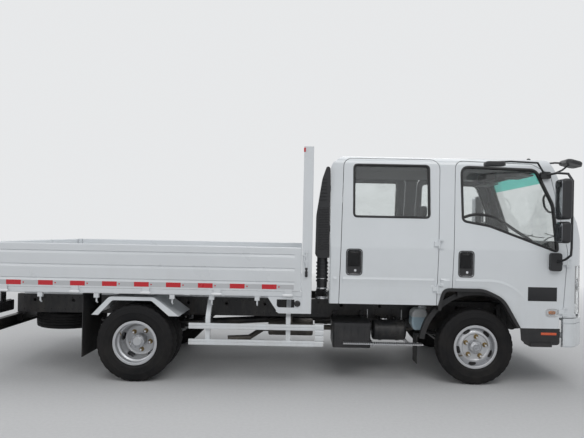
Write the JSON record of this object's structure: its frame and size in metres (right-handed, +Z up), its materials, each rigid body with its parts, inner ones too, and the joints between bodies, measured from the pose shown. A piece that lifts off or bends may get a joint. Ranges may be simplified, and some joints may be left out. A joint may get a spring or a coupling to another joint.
{
  "type": "light truck with crew cab and drop-side bed",
  "caption": "White light truck: four-door cab over the engine, flat bed with grooved drop sides, headboard posts, side guards, twin rear wheels",
  "frame": {"origin": "on the ground under the middle of the truck, halfway along and halfway across", "axes": "+X points forward, +Y to the truck's left, +Z up"},
  "size_m": [5.99, 2.564, 2.3248],
  "materials": {
    "white_paint": "gloss",
    "black_paint": "satin",
    "black_plastic": "matte",
    "cast_metal": "matte",
    "wheel_silver": "satin",
    "tyre": "matte",
    "rubber": "matte",
    "glass": "clear",
    "lamp_glass": "clear",
    "red_lamp": "gloss",
    "step_steel": "satin",
    "bottle_plastic": "satin",
    "seat_cloth": "woven"
  },
  "bodies": {
    "chassis": {"frame": "black_paint", "front_axle": "black_paint", "rear_axle": "black_paint", "front_springs": "black_paint", "rear_springs": "black_paint", "engine_block": "cast_metal", "prop_shaft": "black_paint", "tanks": "black_paint", "cab_steps": "step_steel", "washer_bottle": "bottle_plastic", "front_mirror": "black_plastic", "battery_box": "black_plastic", "exhaust": "cast_metal", "air_intake": "black_plastic", "spare_wheel": "wheel_silver", "spare_tyre": "tyre", "cab_shell": "white_paint", "windshield": "glass", "back_window": "glass", "grille": "black_plastic", "headlamps": "lamp_glass", "front_bumper": "white_paint", "wheel_arches": "black_plastic", "front_seats": "seat_cloth", "rear_seat": "seat_cloth", "dashboard": "black_plastic", "steering_wheel": "black_plastic", "bed_floor": "white_paint", "headboard": "white_paint", "side_guards": "white_paint", "rear_underrun": "black_paint", "rear_fenders": "white_paint", "mud_flaps": "rubber", "rear_lamps": "red_lamp"},
    "knuckle_right": {"knuckle_right": "black_paint"},
    "front_wheel_right": {"front_wheel_right": "wheel_silver", "front_tyre_right": "tyre"},
    "rear_wheels_right": {"rear_wheels_right": "wheel_silver", "rear_tyres_right": "tyre"},
    "door_front_right": {"door_front_right": "white_paint", "glass_front_right": "glass", "mirror_right": "black_plastic"},
    "door_rear_right": {"door_rear_right": "white_paint", "glass_rear_right": "glass"},
    "drop_side_right": {"drop_side_right": "white_paint"},
    "knuckle_left": {"knuckle_left": "black_paint"},
    "front_wheel_left": {"front_wheel_left": "wheel_silver", "front_tyre_left": "tyre"},
    "rear_wheels_left": {"rear_wheels_left": "wheel_silver", "rear_tyres_left": "tyre"},
    "door_front_left": {"door_front_left": "white_paint", "glass_front_left": "glass", "mirror_left": "black_plastic"},
    "door_rear_left": {"door_rear_left": "white_paint", "glass_rear_left": "glass"},
    "drop_side_left": {"drop_side_left": "white_paint"},
    "tie_rod": {"tie_rod": "black_paint"},
    "tailgate": {"tailgate": "white_paint"}
  },
  "joints": [
    {"name": "steer_right", "type": "hinge", "parent": "chassis", "child": "knuckle_right", "pos_m": [1.904, -0.7, 0.377], "axis": [0, 0, 1], "range_deg": [-35, 35]},
    {"name": "steer_left", "type": "hinge", "parent": "chassis", "child": "knuckle_left", "pos_m": [1.904, 0.7, 0.377], "axis": [0, 0, 1], "range_deg": [-35, 35]},
    {"name": "tie_rod_pivot", "type": "hinge", "parent": "knuckle_right", "child": "tie_rod", "pos_m": [1.714, -0.7, 0.2857], "axis": [0, 0, 1], "range_deg": [-35, 35]},
    {"name": "spin_front_right", "type": "hinge", "parent": "knuckle_right", "child": "front_wheel_right", "pos_m": [1.904, -0.83, 0.377], "axis": [0, 1, 0], "continuous": true},
    {"name": "spin_rear_right", "type": "hinge", "parent": "chassis", "child": "rear_wheels_right", "pos_m": [-1.456, -0.82, 0.377], "axis": [0, 1, 0], "continuous": true},
    {"name": "spin_front_left", "type": "hinge", "parent": "knuckle_left", "child": "front_wheel_left", "pos_m": [1.904, 0.83, 0.377], "axis": [0, 1, 0], "continuous": true},
    {"name": "spin_rear_left", "type": "hinge", "parent": "chassis", "child": "rear_wheels_left", "pos_m": [-1.456, 0.82, 0.377], "axis": [0, 1, 0], "continuous": true},
    {"name": "door_rear_right_hinge", "type": "hinge", "parent": "chassis", "child": "door_rear_right", "pos_m": [1.485, -1.002, 0.797], "axis": [0.0263, 0, 0.9997], "range_deg": [0, 70]},
    {"name": "door_rear_left_hinge", "type": "hinge", "parent": "chassis", "child": "door_rear_left", "pos_m": [1.485, 1.002, 0.797], "axis": [-0.0263, 0, -0.9997], "range_deg": [0, 70]},
    {"name": "door_front_right_hinge", "type": "hinge", "parent": "chassis", "child": "door_front_right", "pos_m": [2.717, -1.002, 0.59], "axis": [0.0607, 0, 0.9982], "range_deg": [0, 70]},
    {"name": "door_front_left_hinge", "type": "hinge", "parent": "chassis", "child": "door_front_left", "pos_m": [2.717, 1.002, 0.59], "axis": [-0.0607, 0, -0.9982], "range_deg": [0, 70]},
    {"name": "drop_side_right_hinge", "type": "hinge", "parent": "chassis", "child": "drop_side_right", "pos_m": [-1.387, -1.102, 0.88], "axis": [1, 0, 0], "range_deg": [0, 180]},
    {"name": "drop_side_left_hinge", "type": "hinge", "parent": "chassis", "child": "drop_side_left", "pos_m": [-1.387, 1.102, 0.88], "axis": [-1, 0, 0], "range_deg": [0, 180]},
    {"name": "tailgate_hinge", "type": "hinge", "parent": "chassis", "child": "tailgate", "pos_m": [-2.983, 0, 0.88], "axis": [0, -1, 0], "range_deg": [0, 180]}
  ],
  "couplings": [
    {"joint": "steer_left", "follows": "steer_right", "ratio": 1},
    {"joint": "tie_rod_pivot", "follows": "steer_right", "ratio": -1}
  ]
}
